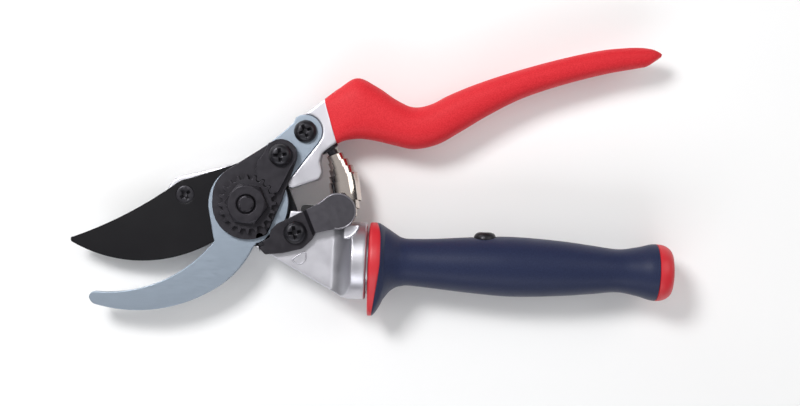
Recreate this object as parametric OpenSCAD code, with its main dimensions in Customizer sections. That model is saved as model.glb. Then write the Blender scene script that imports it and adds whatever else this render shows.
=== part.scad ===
// One-hand bypass pruning shears with a turning lower grip.
// Millimetres, +Z up. The origin is on the pivot axis, at the outer face of the pivot bolt's head.
// +X runs along the turning grip to its end cap, +Y points to the upper handle, +Z to the nut.

/* [Pivot stack] */
// Thickness of the pivot bolt's head
bolt_head_t = 2.6; // [2:0.1:3.5]
// Radius of the pivot bolt's head
bolt_head_r = 7.4; // [6.5:0.1:9]
// Radius of the bolt's shank
shank_r = 5; // [4:0.1:5.5]
// Radius of the bolt's threaded end
thread_r = 2.95; // [2.5:0.05:3.5]
// Wall of the pivot bush
bush_wall = 1.2; // [0.8:0.1:2]
// Thickness of the lower handle's web behind the blade
web_t = 5.6; // [4:0.1:7]
// Thickness of the cutting blade
blade_t = 3; // [2.5:0.1:3.6]
// Thickness of the counter-blade
counter_t = 3.6; // [3:0.1:4.5]
// Thickness of the lock plate
lock_plate_t = 1.8; // [1.5:0.1:2.2]
// Thickness of the nut's toothed flange and of the toothed segment
flange_t = 2; // [1.5:0.1:2.5]
// Height of the nut's hexagon
nut_t = 3.2; // [2.5:0.1:4]
// Nut size across its flats
nut_af = 13; // [11:0.5:14]
// Length of thread that shows past the nut
thread_proud = 0.5; // [0.2:0.1:1.5]

/* [Blades] */
// Distance of the cutting blade's tip to the left of the pivot
blade_tip_x = 62; // [52:0.5:75]
// Distance of the cutting blade's tip below the pivot
blade_tip_y = 14.6; // [11:0.2:17]
// Depth of the convex cutting edge beyond its chord
edge_bulge = 6.7; // [5:0.1:8]
// Radius of the blade's disc round the pivot
blade_disc_r = 14.9; // [14.5:0.1:16]
// Radius of the counter-blade's hub
hub_r = 13.95; // [13:0.05:14.4]
// Distance of the hook's tip to the left of the pivot
hook_tip_x = 54; // [46:0.5:66]
// Distance of the hook's tip below the pivot
hook_tip_y = 34.4; // [31:0.2:38]
// Depth of the hook's concave edge
hook_hollow = 5.65; // [4.5:0.1:6.5]

/* [Lock plate and nut] */
// Radius of the lock plate round the pivot
lock_plate_r = 12.3; // [11.5:0.1:13]
// Outer radius of the toothed flange
teeth_r = 10.1; // [9.5:0.1:10.4]
// Depth of the teeth
tooth_depth = 1.5; // [1:0.1:2]
// Number of teeth round the flange
teeth = 20; // [16:2:24]

/* [Screws] */
// Diameter of the pan heads
pan_head_d = 8; // [7:0.1:9]
// Height of the pan heads
pan_head_h = 2.9; // [2.2:0.1:3.2]
// Shank diameter of the pan-head screws
screw_d = 4; // [3:0.1:4.5]
// Diameter of the countersunk blade screw's head
flat_head_d = 6.4; // [5.5:0.1:7.5]
// Width of the slots of the cross recess
cross_w = 1.1; // [0.8:0.05:1.4]

/* [Upper handle] */
// Thickness of the aluminium head behind the counter-blade
head_back_t = 5; // [4:0.1:6]
// Thickness of the bar inside the coating
bar_t = 8.4; // [7:0.1:9.5]
// Half-thickness of the coated handle at its belly
grip_half_t = 7.6; // [6.8:0.1:9]

/* [Lower handle] */
// Height of the grip axis above the back face
grip_axis_z = 13.9; // [13.6:0.05:15]
// Distance of the grip axis below the pivot
grip_axis_y = 18.1; // [16.5:0.1:20]
// Radius of the collar at the grip
collar_r = 13.4; // [12.5:0.1:13.5]
// X of the collar's end face
collar_end = 41.8; // [40:0.2:44]
// Radius of the tang inside the grip
tang_r = 5; // [4:0.1:6]
// Depth of the tang's groove for the grip screw
groove_d = 1.4; // [1:0.1:2]

/* [Turning grip] */
// Gap between the collar and the guard
guard_gap = 0.8; // [0.5:0.1:1.5]
// Radius of the guard's round side
guard_r = 13.5; // [13:0.1:13.8]
// Reach of the guard's long side from the grip axis
guard_reach = 19; // [16:0.2:22]
// Radius of the guard's long end
guard_nose_r = 8; // [6:0.2:10]
// Thickness of the guard
guard_t = 3.6; // [3:0.1:5]
// X of the grip's far end
grip_end = 148; // [135:0.5:165]
// Outer radius of the core tube
core_r = 6.6; // [6.2:0.1:7]
// Radius of the sleeve's belly
belly_r = 10.4; // [9.5:0.1:12]
// X of the grip screw
grip_screw_x = 82.7; // [76:0.1:90]

/* [Thumb catch] */
// Thickness of the catch plate
catch_t = 2; // [1.6:0.1:2.2]
// Height of the bent thumb pad above the catch plate
pad_lift = 2.4; // [1.5:0.1:3]
// Radius of the thumb pad
pad_r = 6.2; // [5:0.1:7]
// Angle that the catch turns to lock
catch_turn = 12; // [10:0.5:14]
// Thickness of the washer under the catch
catch_washer_t = 0.6; // [0.4:0.1:1]
// Angle that the upper handle turns to close
close_turn = 19.5; // [18:0.5:20]

/* [Spring] */
// Radius of the spring's path round the pivot
spring_path_r = 34.2; // [33:0.1:35]
// Largest radius of the coil
coil_r = 5.6; // [4.5:0.1:5.8]
// Smallest radius of the coil, at both ends
coil_end_r = 2.3; // [2:0.1:3]
// Thickness of the spring strip
strip_t = 0.42; // [0.3:0.02:0.5]
// Width of the spring strip
strip_w = 6.4; // [5:0.1:7.5]
// Turns in each half of the spring
half_turns = 4.5; // [3:0.5:5]

/* [Clearances] */
// Gap between sliding flat faces
slide_gap = 0.05; // [0.03:0.01:0.1]
// Radial clearance of the running fits
run_clear = 0.04; // [0.02:0.01:0.1]
// Free gap between neighbours that must not touch
free_gap = 0.3; // [0.2:0.05:0.5]
// Clearance of inlaid and seated pieces
seat_clear = 0.05; // [0.03:0.01:0.1]

/* [Hidden] */
$fn = 72;

// Heights of the stack, from the back to the front.
web_z = bolt_head_t + slide_gap;
blade_z = web_z + web_t;
shear_z = blade_z + blade_t;
counter_z = shear_z + slide_gap;
plate_z = counter_z + counter_t;
flange_z = plate_z + lock_plate_t;
hex_z = flange_z + flange_t;
nut_top = hex_z + nut_t;
bush_r = shank_r + run_clear + bush_wall;

// Places of the screws and the catch, in the plane of the blades.
blade_screw_at = [-22.7, 2.4];
segment_screw_at = [10.9, 17.3];
arm_screw_at = [18.9, 26];
catch_at = [17, -9.1];
pad_at = [31.5, -1.2];

// The lower handle's body in front of the web, and the catch on its washer.
catch_z = flange_z + free_gap;
fan_front = catch_z - catch_washer_t;
catch_washer_r = 5.2;
catch_pin_r = 0.8;
catch_pin_at = [5.4, -13.7];
catch_pin_depth = 1.1;
seat_r = blade_disc_r + seat_clear;
catch_flat = teeth_r + 0.2;
flat_dir = -22;

// The blade's tab and the rubber buffer beside it.
tab_x = 17.8;
tab_top = -1.6;
tab_base = -6.5;
flank_start = 24;
web_nose_r = 6.8;
// How far the outlines of the lower handle run past its turned collar.
past = 0.4;
buffer_top = 0.45;

// The spring, its ends and its seats.
spring_z = shear_z - 0.7;
spring_top = 35.5;
spring_bottom = -12.5;

// The upper handle.
head_z = counter_z - head_back_t;
grip_mid_z = shear_z + 0.3;
head_clear_r = blade_disc_r + free_gap;
tab_clear_r = norm([tab_x - 1, tab_top]) + free_gap;

// Stations of the coated handle: top point, bottom point, half-thickness and squareness of the section.
grip_stations = [
    [[24.9, 37.5], [29.8, 22.4], grip_half_t - 1.6, 4.5],
    [[29.6, 41.3], [33, 23.7], grip_half_t - 0.7, 3.4],
    [[36, 45.4], [38, 24.35], grip_half_t, 2.8],
    [[43, 42.7], [44, 23.7], grip_half_t, 2.5],
    [[50, 38.4], [50, 22.5], grip_half_t - 0.1, 2.35],
    [[56, 36.1], [57, 21.5], grip_half_t - 0.2, 2.3],
    [[62, 37.3], [65, 23.5], grip_half_t - 0.3, 2.3],
    [[68.5, 40.9], [72.5, 28], grip_half_t - 0.5, 2.3],
    [[78, 45.2], [82.5, 34.5], grip_half_t - 0.7, 2.3],
    [[90, 49.7], [94, 40.8], grip_half_t - 1, 2.3],
    [[105, 54.5], [108, 46.1], grip_half_t - 1.4, 2.3],
    [[120, 58.4], [122.5, 50.4], grip_half_t - 2, 2.3],
    [[131, 59.95], [133.5, 52.8], grip_half_t - 3, 2.2],
    [[137.4, 59.9], [137, 53.7], grip_half_t - 4, 2.2],
    [[140.6, 59], [139.8, 55.6], grip_half_t - 5.2, 2.1],
    [[142, 58.2], [141.7, 57], grip_half_t - 6.8, 2]
];

// The turning grip.
guard_x = collar_end + guard_gap;
cap_x = grip_end - 5.6;
bore_r = tang_r + run_clear;
tang_end = cap_x - 18;
sleeve_rim_r = 9.9;
groove_w = screw_d / 2 + free_gap;
screw_boss_h = 2.1;

// Stations of the sleeve: X, radius to +Y, radius to -Y, radius to both sides, squareness below.
sleeve_stations = [
    [guard_x + guard_t, 13, 16.4, 12.6, 1.6], [48, 12.1, 12.9, 11.4, 1.8], [50, 10.8, 10.4, 10, 2],
    [52, 9.3, 8.8, 9, 2], [54, 8.6, 8.3, 8.4, 2], [57, 8.3, 8, 8.1, 2], [66, 8.7, 8.7, 8.7, 2],
    [78, 9.7, 9.7, 9.7, 2], [92, belly_r, belly_r, belly_r, 2], [108, 9.7, 9.6, 9.7, 2],
    [120, 8.5, 8.4, 8.4, 2], [129, 7.6, 7.4, 7.5, 2], [cap_x - 6.6, 8.6, 8.4, 8.5, 2],
    [cap_x - 2.6, 9.6, 9.5, 9.6, 2],
    [cap_x, sleeve_rim_r, sleeve_rim_r, sleeve_rim_r, 2]
];

// ---------- Functions for outlines ----------

// Points on an arc from a to b that bulges by h to the right of that direction; b is left out.
function bulge(a, b, h, n = 18) =
    abs(h) < 0.01 ? [a] :
    let (chord = norm(b - a), along = (b - a) / chord, side = [along[1], -along[0]],
         r = (chord * chord / 4 + h * h) / (2 * h), mid = (a + b) / 2 + side * (h - r),
         start = atan2((a - mid)[1], (a - mid)[0]),
         swing = 4 * atan(2 * h / chord))
    [for (i = [0 : n - 1]) mid + abs(r) * [cos(start + swing * i / n), sin(start + swing * i / n)]];

// An outline of corners [x, y, h], where h is the bulge of the side to the next corner.
function bulged(corners) = [
    for (i = [0 : len(corners) - 1])
        let (a = corners[i], b = corners[(i + 1) % len(corners)])
        each bulge([a[0], a[1]], [b[0], b[1]], a[2])
];

function polar(r, a) = [r * cos(a), r * sin(a)];

// Points round the pivot, from the angle a to the angle b.
function arc_points(r, a, b, n = 30) = [for (i = [0 : n]) polar(r, a + (b - a) * i / n)];

function unit(v) = v / norm(v);

// An outline of corners [x, y, r], each rounded to the radius r.
function rounded(corners, n = 8) = [
    for (i = [0 : len(corners) - 1])
        let (k = len(corners), c = corners[i],
             before = corners[(i + k - 1) % k], after = corners[(i + 1) % k],
             p = [c[0], c[1]], u = unit([before[0], before[1]] - p), v = unit([after[0], after[1]] - p),
             half = acos(u * v) / 2, cut = c[2] / tan(half), mid = p + unit(u + v) * c[2] / sin(half),
             a = p + u * cut - mid, b = p + v * cut - mid,
             start = atan2(a[1], a[0]), turn = atan2(a[0] * b[1] - a[1] * b[0], a * b))
        each c[2] < 0.01 ? [p] :
            [for (j = [0 : n]) mid + c[2] * [cos(start + turn * j / n), sin(start + turn * j / n)]]
];

// One value on the smooth curve through a list of values or points.
function on_curve(list, t) =
    let (last = len(list) - 1, i = min(floor(t), last - 1), f = t - i,
         a = list[max(i - 1, 0)], b = list[i], c = list[i + 1], d = list[min(i + 2, last)])
    0.5 * (2 * b + (c - a) * f + (2 * a - 5 * b + 4 * c - d) * f * f + (3 * b - a - 3 * c + d) * f * f * f);

// The smooth curve through a list, with n steps to each stretch.
function curve(list, n) = [for (i = [0 : n * (len(list) - 1)]) on_curve(list, i / n)];

// ---------- Shared shapes ----------

// Two discs and the straight sides along both. The sides lie a hair inside the tangents, so that
// they cut the discs at clean points.
module link(a, ra, b, rb, hair = 0.02) {
    line = b - a;
    turn = atan2(line[1], line[0]);
    lean = acos((ra - rb) / norm(line));
    translate(a) circle(ra);
    translate(b) circle(rb);
    polygon([a + polar(ra - hair, turn + lean), a + polar(ra - hair, turn - lean),
             b + polar(rb - hair, turn - lean), b + polar(rb - hair, turn + lean)]);
}

// A closed skin over a list of rings that all have the same number of points.
module skin(rings) {
    k = len(rings[0]);
    m = len(rings);
    points = [for (ring = rings) each ring];
    sides = [for (i = [0 : m - 2], j = [0 : k - 1])
        each [[i * k + j, (i + 1) * k + j, i * k + (j + 1) % k],
              [i * k + (j + 1) % k, (i + 1) * k + j, (i + 1) * k + (j + 1) % k]]];
    first = [for (j = [0 : k - 1]) j];
    final = [for (j = [k - 1 : -1 : 0]) (m - 1) * k + j];
    polyhedron(points, concat([first], sides, [final]), convexity = 6);
}

// Turned solid round an axis along X, from a profile of [x, radius] points.
module turned(profile) {
    rotate([90, 0, 90]) rotate_extrude() polygon([for (p = profile) [p[1], p[0]]]);
}

module on_grip_axis() {
    translate([0, -grip_axis_y, grip_axis_z]) children();
}

// The cross recess, cut down from the plane z = 0.
module cross_recess(r, depth) {
    intersection() {
        translate([0, 0, -depth]) cylinder(h = depth + 1, r1 = r * 0.35, r2 = r * (1 + 0.65 / depth));
        union() for (a = [0, 90])
            rotate(a) translate([-r * 2, -cross_w / 2, -depth]) cube([r * 4, cross_w, depth + 1]);
    }
}

// Domed pan head with a shank below it; z = 0 is under the head.
module pan_screw(grip_length, turn) {
    edge = 0.45;
    r = pan_head_d / 2;
    difference() {
        union() {
            rotate_extrude() polygon(concat(
                [[0, 0], [r - edge / 2, 0], [r, edge]],
                [for (a = [10 : 10 : 80])
                    [r * 0.48 + r * 0.52 * cos(a), edge + (pan_head_h - edge) * sin(a)]],
                [[r * 0.42, pan_head_h], [0, pan_head_h]]));
            translate([0, 0, -grip_length]) cylinder(h = grip_length + 0.01, d = screw_d);
        }
        rotate(turn) translate([0, 0, pan_head_h]) cross_recess(r * 0.62, 1.9);
    }
}

// ---------- Lower body: the lower handle and what is fixed to it ----------

// Plan of the whole lower handle, out to the collar.
module lower_plan() {
    link([0, 0], blade_disc_r, blade_screw_at, web_nose_r);
    polygon(rounded([
        [0, -1.7, 0], [16.2, -1.7, 0], [24.2, -1.7, 1.5], [27.6, -5.6, 3],
        [34, -grip_axis_y + collar_r + past, 2], [collar_end + past, -grip_axis_y + collar_r + past, 0],
        [collar_end + past, -grip_axis_y - collar_r - past, 0],
        [collar_end - 5.6, -grip_axis_y - collar_r - past, 1.2], [8.1, -17.15, 0],
        [2.6, -14.35, 0]]));
}

// Side view of the lower handle: a flat body that rises in a cove to the collar.
module lower_side() {
    top = grip_axis_z + collar_r + past;
    base = grip_axis_z - collar_r - past;
    polygon(concat(
        [[-40, web_z], [31.5, web_z]],
        bulge([31.5, web_z], [35.6, base], 0.5),
        [[35.6, base], [collar_end + past, base], [collar_end + past, top]],
        bulge([36.7, top], [30.2, fan_front], -2.1),
        [[30.2, fan_front], [-40, fan_front]]));
}

module lower_handle() {
    spring_mouth = polar(spring_path_r, spring_bottom);
    color("silver") difference() {
        union() {
            intersection() {
                linear_extrude(collar_r * 2 + grip_axis_z) lower_plan();
                rotate([90, 0, 0]) translate([0, 0, -40]) linear_extrude(90) lower_side();
                union() {
                    translate([-60, -60, 0]) cube([92, 120, fan_front]);
                    on_grip_axis() turned([[0, 0], [0, collar_r], [collar_end - 0.5, collar_r],
                        [collar_end, collar_r - 0.5], [collar_end, 0]]);
                }
            }
            on_grip_axis() turned([[37, 0], [37, tang_r], [grip_screw_x - groove_w, tang_r],
                [grip_screw_x - groove_w, tang_r - groove_d], [grip_screw_x + groove_w, tang_r - groove_d],
                [grip_screw_x + groove_w, tang_r], [tang_end - 1, tang_r],
                [tang_end, tang_r - 1], [tang_end, 0]]);
        }
        // Open seat for the blade's disc and the turning hub.
        translate([0, 0, blade_z]) cylinder(h = 40, r = seat_r, $fn = 120);
        translate([-60, -14.4, blade_z]) cube([60, 60, 40]);
        blade_tab_cut();
        translate([0, 0, -1]) cylinder(h = 40, r = bush_r);
        translate([blade_screw_at[0], blade_screw_at[1], -1]) cylinder(h = 20, d = screw_d - 0.5);
        translate([catch_at[0], catch_at[1], web_z + 2]) cylinder(h = 40, d = screw_d);
        buffer_block(seat_clear);
        // Room for the catch's pin on its way to the lock plate, and for the thumb pad.
        translate([0, 0, flange_z - catch_pin_depth]) linear_extrude(20)
            swept_disc(catch_pin_at, catch_pin_r + free_gap);
        translate([0, 0, catch_z + pad_lift - free_gap]) linear_extrude(20)
            swept_disc(pad_at, pad_r + free_gap);
        // Socket of the spring's lower end, square to the spring's path.
        translate([spring_mouth[0], spring_mouth[1], spring_z]) rotate([0, 0, spring_bottom])
            rotate([90, 0, 0]) translate([0, 0, -8]) cylinder(h = 11, r = coil_end_r + 2.2);
    }
}

// The slot of the blade's tab, which keeps the blade from turning.
module blade_tab_cut() {
    translate([0, tab_base - seat_clear, blade_z])
        cube([tab_x + seat_clear, tab_top - tab_base + 2, blade_t + seat_clear]);
}

// The cutting blade: flat face to the front, ground from behind.
module blade_plan() {
    tip = [-blade_tip_x, -blade_tip_y];
    heel = [-12, -13.6];
    tab_finish = asin(tab_base / blade_disc_r);
    polygon(concat(
        bulged([
            [heel[0], heel[1], -edge_bulge], [tip[0] + 0.5, tip[1] - 1.1, -0.2], [tip[0], tip[1], -0.3],
            [tip[0] + 0.7, tip[1] + 0.7, 1.5], [-25.4, 6.6, -0.2], [-21.8, 8, 0], [-7.6, 13, 0]]),
        arc_points(blade_disc_r, 118, flank_start),
        [[tab_x - 1, tab_top], [tab_x, tab_base]],
        arc_points(blade_disc_r, tab_finish, -123)));
}

module cutting_blade() {
    bevel_drop = 2.2;
    color("#26242b") difference() {
        translate([0, 0, blade_z]) linear_extrude(blade_t) blade_plan();
        translate([0, 0, blade_z - 1]) cylinder(h = blade_t + 2, r = bush_r);
        translate([blade_screw_at[0], blade_screw_at[1], blade_z - 1]) {
            cylinder(h = blade_t + 2, d = screw_d - 0.5);
            translate([0, 0, blade_t + 1 - 1.6])
                cylinder(h = 1.6, r1 = screw_d / 2 - 0.25, r2 = flat_head_d / 2);
        }
        // The ground bevel along the cutting edge, on the back face.
        edge_grind(bevel_drop);
    }
}

// A cone-shaped cutter whose rim follows the round cutting edge.
module edge_grind(drop) {
    a = [-12, -13.6];
    b = [-blade_tip_x + 0.5, -blade_tip_y - 1.1];
    chord = norm(b - a);
    r = (chord * chord / 4 + edge_bulge * edge_bulge) / (2 * edge_bulge);
    normal = unit([-(b - a)[1], (b - a)[0]]) * -1;
    mid = (a + b) / 2 + normal * (r - edge_bulge);
    width = 9;
    translate([mid[0], mid[1], blade_z]) intersection() {
        rotate_extrude($fn = 180) polygon([
            [r - width, 0], [r + 2, drop * (1 + 2 / width)], [r + 2, -1], [r - width, -1]]);
        translate([-80 - mid[0], -60 - mid[1], -2]) cube([80 - blade_disc_r + 0.4, 90, 8]);
    }
}

module blade_screw() {
    color("#2c2a30") translate([blade_screw_at[0], blade_screw_at[1], 0]) difference() {
        union() {
            translate([0, 0, web_z + 0.6]) cylinder(h = shear_z - web_z - 1.6, d = screw_d - 0.5);
            translate([0, 0, shear_z - 1.6])
                cylinder(h = 1.5, r1 = screw_d / 2 - 0.25, r2 = flat_head_d / 2 - 0.1);
        }
        translate([0, 0, shear_z - 0.1]) rotate(38) cross_recess(flat_head_d * 0.33, 1.3);
    }
}

module pivot_bush() {
    color("#a98a4e") translate([0, 0, web_z]) difference() {
        cylinder(h = web_t + blade_t, r = bush_r);
        translate([0, 0, -1]) cylinder(h = web_t + blade_t + 2, r = shank_r + run_clear);
    }
}

// The buffer's block; grow is the extra size of its pocket.
module buffer_block(grow) {
    translate([0, 0, web_z + 2 - grow]) linear_extrude(fan_front - web_z - 4 + 2 * grow)
        polygon(rounded([
            [18.4 - grow, -4.6 - grow, 0.4], [23.6 + grow, -4.6 - grow, 0.4],
            [23.6 + grow, buffer_top, 1.1], [18.4 - grow, buffer_top, 1.2]]));
}

module rubber_buffer() {
    color("#1f1f22") buffer_block(0);
}

// A shallow cup in the lower handle's socket, which holds the spring's end.
module spring_seat_lower() {
    mouth = polar(spring_path_r, spring_bottom);
    color("#3a383c") translate([mouth[0], mouth[1], spring_z]) rotate([0, 0, spring_bottom])
        rotate([90, 0, 0]) translate([0, 0, -1.5]) difference() {
            cylinder(h = 3.6, r = coil_end_r + 2.1);
            translate([0, 0, -0.01]) cylinder(h = 2.2, r = coil_end_r + 1.1);
        }
}

module catch_washer() {
    color("#77757c") translate([catch_at[0], catch_at[1], fan_front]) difference() {
        cylinder(h = catch_washer_t - slide_gap, r = catch_washer_r);
        translate([0, 0, -1]) cylinder(h = 3, d = screw_d);
    }
}

module catch_screw() {
    collar_h = catch_t + 2 * slide_gap;
    color("#2c2a30") translate([catch_at[0], catch_at[1], catch_z - slide_gap]) {
        translate([0, 0, collar_h]) pan_screw(catch_z + collar_h - web_z - 2.4, 12);
        cylinder(h = collar_h, r = screw_d / 2 + 0.9);
    }
}

module thrust_washer() {
    front = collar_end + guard_gap - slide_gap;
    color("#77757c") on_grip_axis() turned([
        [collar_end, tang_r], [front, tang_r], [front, collar_r - 2], [collar_end, collar_r - 2]]);
}

// ---------- Upper body: the upper handle and what turns with it ----------

// Plan of the counter-blade's arm, which lies in the upper handle.
module arm_plan() {
    translate(arm_screw_at) circle(5.9);
    polygon(concat(
        [[13.2, 8.2], [23.7, 22.4], arm_screw_at + [1.2, 5.75]],
        curve([[17.4, 31.4], [14.6, 28.7], [6, 21.1], [-2, 15.3], [-8.2, 11.3]], 5),
        [[0, 0]]));
}

module counter_plan() {
    tip = [-hook_tip_x, -hook_tip_y];
    circle(hub_r, $fn = 120);
    intersection() {
        arm_plan();
        translate([-30, -30]) polygon([
            [0, 0], [70, 0], [70, 70], [46, 62.4], [44.6, 58.8], [14, 34], [0, 34]]);
    }
    polygon(bulged([
        [-13.7, -2.6, 0], [-11.7, -12.2, -0.1], [-11.4, -13.4, -hook_hollow], [tip[0] + 1.8, tip[1] + 2, 0.5],
        [tip[0], tip[1], 0.4], [tip[0] + 2, tip[1] - 2.4, 4.6], [-10, -29.6, 1.4], [2.2, -14.8, 0],
        [3.6, -13.3, 0], [0, 0, 0]]));
}

module counter_blade() {
    color("#8f9aa8") difference() {
        translate([0, 0, counter_z]) linear_extrude(counter_t) counter_plan();
        translate([0, 0, counter_z - 1]) cylinder(h = counter_t + 2, r = shank_r);
        translate([segment_screw_at[0], segment_screw_at[1], 0]) cylinder(h = 40, d = screw_d);
        translate([arm_screw_at[0], arm_screw_at[1], 0]) cylinder(h = 40, d = screw_d);
    }
}

// Plan of the aluminium head, from the blade's disc to the coating.
module head_plan() {
    difference() {
        polygon(rounded([
            [-3.4, 14.9, 0], [13.3, 6.6, 0.6], [15.2, 6.2, 1.2], [24.4, 9.6, 1.6], [25.2, 11.9, 2],
            [24.2, 15.6, 3], [25, 18.8, 3], [29.7, 22.6, 0], [30.8, 25, 0], [27.4, 37, 0],
            [24.8, 37.3, 0], [14.2, 28.5, 0], [6, 21.5, 0]]));
        circle(head_clear_r, $fn = 120);
    }
}

// Plan of the bar that runs inside the coating.
module bar_plan() {
    polygon(concat(
        curve([[26, 35.5], [35, 41.6], [45, 37.8], [57, 32.6], [68, 37], [82, 43.2], [104, 50.8],
            [122, 55.6]], 6),
        [[128, 56.6], [128.6, 55]],
        curve([[122, 53.4], [104, 47.8], [84, 39.4], [70, 29.8], [58, 25], [46, 26.6], [36, 27.6],
            [29, 25.4]], 6)));
}

module upper_handle() {
    seat_end = polar(spring_path_r, spring_top);
    color("silver") difference() {
        union() {
            translate([0, 0, head_z]) linear_extrude(plate_z - head_z) head_plan();
            translate([0, 0, grip_mid_z - bar_t / 2]) linear_extrude(bar_t) difference() {
                bar_plan();
                polygon([[0, 20], [29.7, 22.6], [24.8, 37.3], [0, 60]]);
            }
        }
        // Room for the blade's flank as the handles close.
        translate([0, 0, head_z - 1]) cylinder(h = counter_z - head_z + 1 + free_gap, r = tab_clear_r);
        // Pocket of the inlaid counter-blade.
        translate([0, 0, counter_z - seat_clear]) linear_extrude(20) {
            counter_plan();
            polygon([[13.2, 8.2], [23.7 + seat_clear, 22.4], [18, 24], [8, 14]]);
            polygon([[-6, 10], [14, 27], [17.4, 31.4], [12, 32], [-6, 20]]);
        }
        translate([segment_screw_at[0], segment_screw_at[1], head_z + 1]) cylinder(h = 40, d = screw_d);
        translate([arm_screw_at[0], arm_screw_at[1], head_z + 1]) cylinder(h = 40, d = screw_d);
        translate([seat_end[0], seat_end[1], spring_z]) rotate([0, 0, spring_top])
            rotate([90, 0, 0]) translate([0, 0, -3.2]) cylinder(h = 6, r = coil_end_r + 0.9);
    }
}

// A section of the coated handle at the place t along its stations.
function grip_ring(t, k) =
    let (top = on_curve([for (s = grip_stations) s[0]], t),
         low = on_curve([for (s = grip_stations) s[1]], t),
         half_t = on_curve([for (s = grip_stations) s[2]], t),
         power = on_curve([for (s = grip_stations) s[3]], t),
         mid = (top + low) / 2, arm = (top - low) / 2)
    [for (j = [0 : k - 1])
        let (a = 360 * (j + 0.5) / k, c = sign(cos(a)) * pow(abs(cos(a)), 2 / power),
             s = sign(sin(a)) * pow(abs(sin(a)), 2 / power), p = mid + arm * c)
        [p[0], p[1], grip_mid_z + half_t * s]];

module upper_grip() {
    stretches = len(grip_stations) - 1;
    steps = 3;
    color("#dd3b45") difference() {
        skin([for (i = [0 : stretches * steps]) grip_ring(i / steps, 28)]);
        translate([0, 0, grip_mid_z - bar_t / 2]) linear_extrude(bar_t) bar_plan();
        translate([0, 0, head_z]) linear_extrude(plate_z - head_z) head_plan();
    }
}

module counter_blade_screw() {
    color("#2c2a30") translate([arm_screw_at[0], arm_screw_at[1], plate_z])
        pan_screw(plate_z - head_z - 1, 25);
}

// The lock plate: a disc with a tail to the segment's screw and a flat beside the thumb catch.
module lock_plate_plan() {
    flat_half = acos(catch_flat / lock_plate_r);
    polygon(concat(
        arc_points(lock_plate_r, -180, flat_dir - flat_half),
        arc_points(lock_plate_r, flat_dir + flat_half, flat_dir + flat_half + 2, 1),
        [for (a = [-18 : 10 : 122]) segment_screw_at + polar(5.6, a)],
        arc_round([5.8, 19.9], [-lock_plate_r, 8.66], [-lock_plate_r, 0.3], 11.5)));
}

// The rounded corner b between the points a and c.
function arc_round(a, b, c, r) =
    let (all = rounded([concat(a, [0]), concat(b, [r]), concat(c, [0])], 12)) [for (i = [1 : 13]) all[i]];

// A point turned clockwise round the catch's screw.
function caught(point, turn) =
    let (p = point - catch_at)
    catch_at + [p[0] * cos(turn) + p[1] * sin(turn), -p[0] * sin(turn) + p[1] * cos(turn)];

// The path of a disc on the catch, from open to locked.
module swept_disc(at, r) {
    end = caught(at, catch_turn);
    along = atan2((end - at)[1], (end - at)[0]);
    polygon(concat(
        [for (a = [90 : 15 : 270]) at + polar(r, along + a)],
        [for (a = [-90 : 15 : 90]) end + polar(r, along + a)]));
}

// Pockets in the lock plate's front for the catch's pin, one for the open and one for the closed shears.
module pin_pockets() {
    pin = caught(catch_pin_at, catch_turn);
    for (turn = [0, close_turn]) rotate(turn) translate([0, 0, flange_z - catch_pin_depth - 0.1])
        linear_extrude(4) link(pin, catch_pin_r + free_gap, pin * 1.2, catch_pin_r + free_gap + 0.4);
}

module lock_plate() {
    color("#3d3b41") difference() {
        translate([0, 0, plate_z]) linear_extrude(lock_plate_t) lock_plate_plan();
        pin_pockets();
        translate([0, 0, plate_z - 1]) cylinder(h = 4, r = thread_r);
        translate([segment_screw_at[0], segment_screw_at[1], plate_z - 1]) cylinder(h = 4, d = screw_d);
    }
}

// Outline of the toothed flange; grow widens it for the segment that meshes with it.
function flange_outline(grow) =
    let (pitch = 360 / teeth, root = teeth_r - tooth_depth)
    [for (i = [0 : teeth - 1]) let (a = i * pitch + 3.5)
        each [polar(root + grow, a - 0.4 * pitch), polar(root + grow, a - 0.28 * pitch),
              polar(teeth_r + grow, a - 0.13 * pitch), polar(teeth_r + grow, a + 0.13 * pitch),
              polar(root + grow, a + 0.28 * pitch), polar(root + grow, a + 0.4 * pitch)]];

module toothed_segment() {
    color("#3d3b41") difference() {
        translate([0, 0, flange_z]) linear_extrude(flange_t) difference() {
            polygon(concat(
                [polar(7.6, 78)],
                curve([[2.4, 11.8], [3.2, 15], [5.4, 18.4], [6.6, 21.4]], 6),
                [for (a = [130 : -12 : -20]) segment_screw_at + polar(5.6, a)],
                curve([[14.4, 12.6], [12.6, 8.6], [10.6, 4.6]], 6),
                [polar(7.6, 24)]));
            polygon(flange_outline(0.12));
            circle(teeth_r - tooth_depth);
        }
        translate([segment_screw_at[0], segment_screw_at[1], flange_z - 1]) cylinder(h = 4, d = screw_d);
    }
}

module segment_screw() {
    color("#2c2a30") translate([segment_screw_at[0], segment_screw_at[1], hex_z])
        pan_screw(hex_z - head_z - 1, 8);
}

module pivot_bolt() {
    chamfer = 0.5;
    color("#6d6c72") {
        difference() {
            rotate_extrude() polygon([[0, 0], [bolt_head_r - chamfer, 0], [bolt_head_r, chamfer],
                [bolt_head_r, bolt_head_t], [shank_r, bolt_head_t], [shank_r, plate_z], [thread_r, plate_z],
                [thread_r, nut_top + thread_proud - 0.4], [thread_r - 0.4, nut_top + thread_proud],
                [0, nut_top + thread_proud]]);
            for (a = [0, 180])
                rotate(a) translate([bolt_head_r - 0.9, -20, -1]) cube([10, 40, bolt_head_t + 2]);
        }
    }
}

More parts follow.
